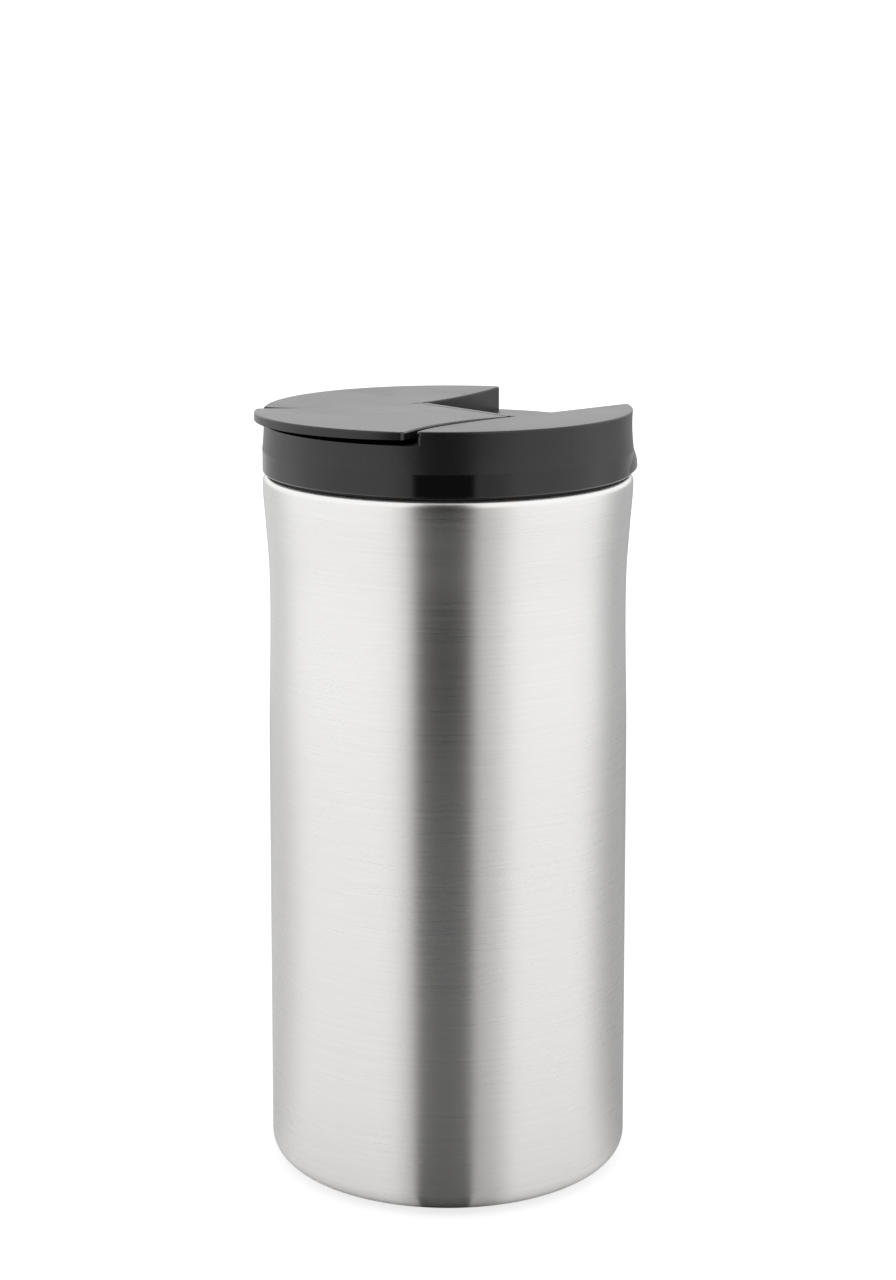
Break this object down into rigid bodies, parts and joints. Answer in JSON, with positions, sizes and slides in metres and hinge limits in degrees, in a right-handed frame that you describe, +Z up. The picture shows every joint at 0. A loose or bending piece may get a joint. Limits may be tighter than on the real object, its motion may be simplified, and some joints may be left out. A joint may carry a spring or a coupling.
{
  "type": "insulated travel mug",
  "caption": "Double-walled steel travel mug with a waisted body, a black screw lid and a flip lever that stops the drinking mouth.",
  "frame": {"origin": "centre of the underside of the foot pad, on the mug's axis", "axes": "+Z up along the mug's axis; the lever's finger tab points to -Y and the recess it folds into to +Y; the lever's hinge axis is along X"},
  "size_m": [0.0822, 0.0877, 0.1703],
  "materials": {
    "brushed_shell": "fine circumferential brushing, satin",
    "liner_steel": "electropolished satin",
    "foil": "bright foil",
    "plain_steel": "drawn, satin",
    "seal_glass": "fused glass solder",
    "getter_metal": "sintered, dull grey",
    "foot_silicone": "soft matt silicone",
    "black_silicone": "soft matt silicone",
    "gloss_black": "polished moulding",
    "matt_black": "fine spark-eroded texture",
    "lever_black": "fine spark-eroded texture",
    "foam": "closed-cell foam",
    "pin_steel": "ground pin"
  },
  "bodies": {
    "mug": {"outer_shell": "brushed_shell", "inner_liner": "liner_steel", "liner_bottom": "liner_steel", "radiation_foil": "foil", "shell_base": "plain_steel", "vacuum_seal": "seal_glass", "getter": "getter_metal", "base_cap": "plain_steel", "foot_pad": "foot_silicone"},
    "gasket": {"lid_gasket": "black_silicone"},
    "lid": {"lid_base": "gloss_black", "lid_insulation": "foam", "cover_seal": "black_silicone", "mouth_seal": "black_silicone", "vent_seal": "black_silicone", "lid_cover": "matt_black", "hinge_pin": "pin_steel"},
    "lever": {"lever": "lever_black", "mouth_stopper": "black_silicone", "vent_plug": "black_silicone"}
  },
  "joints": [
    {"name": "lid_rise", "type": "slide", "parent": "mug", "child": "gasket", "axis": [0, 0, 1], "range_m": [0, 0.024]},
    {"name": "lid_twist", "type": "hinge", "parent": "gasket", "child": "lid", "pos_m": [0, 0, 0.156], "axis": [0, 0, 1], "range_deg": [0, 720]},
    {"name": "lever_flip", "type": "hinge", "parent": "lid", "child": "lever", "pos_m": [0, 0.0046, 0.1674], "axis": [-1, 0, 0], "range_deg": [0, 160]}
  ],
  "couplings": [
    {"joint": "lid_rise", "follows": "lid_twist", "m_per_rad": 0.0019099}
  ]
}
